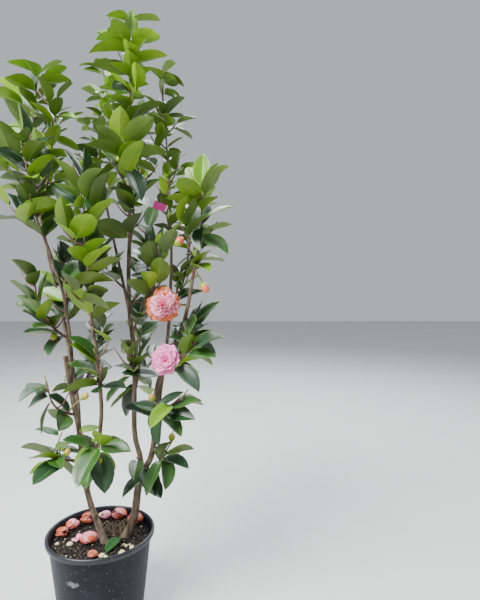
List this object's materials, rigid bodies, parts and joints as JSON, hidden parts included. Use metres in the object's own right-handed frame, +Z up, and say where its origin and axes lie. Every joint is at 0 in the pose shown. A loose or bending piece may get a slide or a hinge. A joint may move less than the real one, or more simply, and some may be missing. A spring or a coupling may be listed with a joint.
{
  "type": "camellia shrub in its nursery pot",
  "caption": "Evergreen shrub on slender bare stems in a round nursery pot, with glossy oval leaves, plump buds, open blooms, dropped blooms on the soil and a bare plant label.",
  "frame": {"origin": "centre of the pot's flat underside, on the surface it stands on", "axes": "+Z up, -Y the side with the open blooms, +X to the right seen from there"},
  "size_m": [0.6313, 0.4974, 1.6412],
  "materials": {
    "pot": "satin",
    "potting_mix": "matte",
    "bark": "matte",
    "foliage": "satin",
    "label": "satin",
    "petals": "matte"
  },
  "bodies": {
    "root": {"pot": "pot", "soil": "potting_mix", "left_stem": "bark", "right_stem": "bark", "right_bough": "bark", "leader": "bark", "middle_bough": "bark", "left_bough": "bark", "rear_left_bough": "bark", "rear_right_bough": "bark", "rear_middle_bough": "bark", "foliage_leader_top": "foliage", "foliage_left_top": "foliage", "foliage_right_top": "foliage", "foliage_rear_top": "foliage", "foliage_left_upper": "foliage", "foliage_middle_upper": "foliage", "foliage_front_upper": "foliage", "foliage_right_upper": "foliage", "foliage_rear_right_upper": "foliage", "foliage_rear_left_upper": "foliage", "foliage_centre_upper": "foliage", "foliage_bloom_shoot": "foliage", "foliage_right_middle": "foliage", "foliage_left_middle": "foliage", "foliage_rear_centre": "foliage", "foliage_low_left": "foliage", "foliage_left_low_middle": "foliage", "foliage_low_middle": "foliage", "foliage_centre_middle": "foliage", "foliage_low_right": "foliage", "foliage_low_right_twig": "foliage", "foliage_rear_low": "foliage", "foliage_rear_left_low": "foliage", "foliage_rear_right_low": "foliage", "foliage_centre_low": "foliage", "foliage_left_inner_top": "foliage", "foliage_left_inner": "foliage", "foliage_rear_inner": "foliage", "plant_label": "label", "fallen_bloom_1": "petals", "fallen_bloom_2": "petals", "fallen_bloom_3": "petals", "fallen_bloom_4": "petals", "fallen_bloom_5": "petals", "fallen_bloom_6": "petals", "fallen_bloom_7": "petals", "fallen_bloom_8": "petals", "fallen_bloom_9": "petals", "fallen_leaf": "foliage"}
  },
  "joints": []
}
